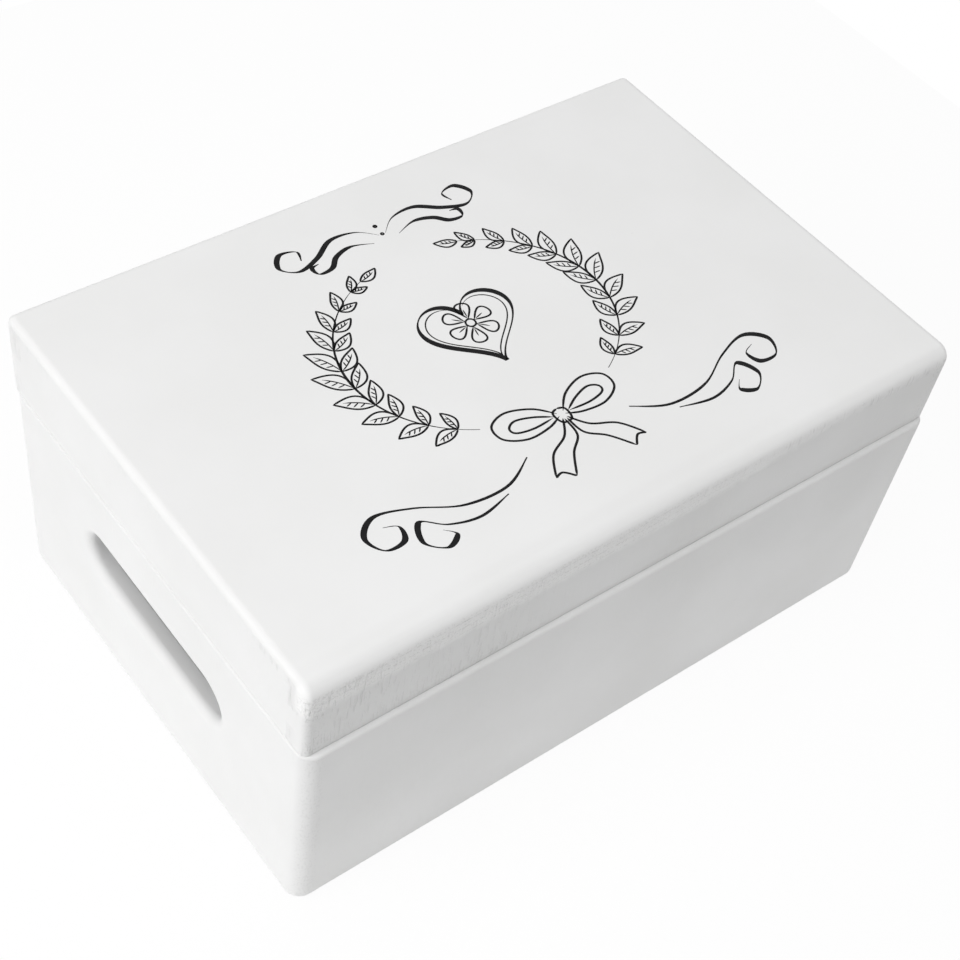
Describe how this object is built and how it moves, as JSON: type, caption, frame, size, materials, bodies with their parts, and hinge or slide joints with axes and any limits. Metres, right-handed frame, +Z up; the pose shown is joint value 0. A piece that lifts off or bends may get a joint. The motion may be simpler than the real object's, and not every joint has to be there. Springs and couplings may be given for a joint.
{
  "type": "keepsake box",
  "caption": "White painted wooden keepsake box with rounded edges, finger-jointed walls, hand slots in the ends and a deep lid on butt hinges.",
  "frame": {"origin": "middle of the underside of the box, on the surface that it stands on", "axes": "+X along the length, -Y out of the front, +Y towards the hinges, +Z up"},
  "size_m": [0.3, 0.2049, 0.135],
  "materials": {
    "painted_wood": "white satin paint over pine, grain just showing",
    "painted_plywood": "white satin paint over plywood",
    "hinge_steel": "nickel plated, satin",
    "screw_steel": "zinc plated"
  },
  "bodies": {
    "box": {"front_wall": "painted_wood", "back_wall": "painted_wood", "left_end_wall": "painted_wood", "right_end_wall": "painted_wood", "bottom_panel": "painted_plywood", "left_hinge_box_leaf": "hinge_steel", "left_hinge_pin": "hinge_steel", "left_hinge_box_screws": "screw_steel", "right_hinge_box_leaf": "hinge_steel", "right_hinge_pin": "hinge_steel", "right_hinge_box_screws": "screw_steel"},
    "lid": {"lid_top_panel": "painted_wood", "lid_front_rail": "painted_wood", "lid_back_rail": "painted_wood", "lid_left_rail": "painted_wood", "lid_right_rail": "painted_wood", "left_hinge_lid_leaf": "hinge_steel", "left_hinge_lid_screws": "screw_steel", "right_hinge_lid_leaf": "hinge_steel", "right_hinge_lid_screws": "screw_steel"}
  },
  "joints": [
    {"name": "lid_hinge", "type": "hinge", "parent": "box", "child": "lid", "pos_m": [0, 0.1026, 0.0981], "axis": [-1, 0, 0], "range_deg": [0, 180]}
  ]
}
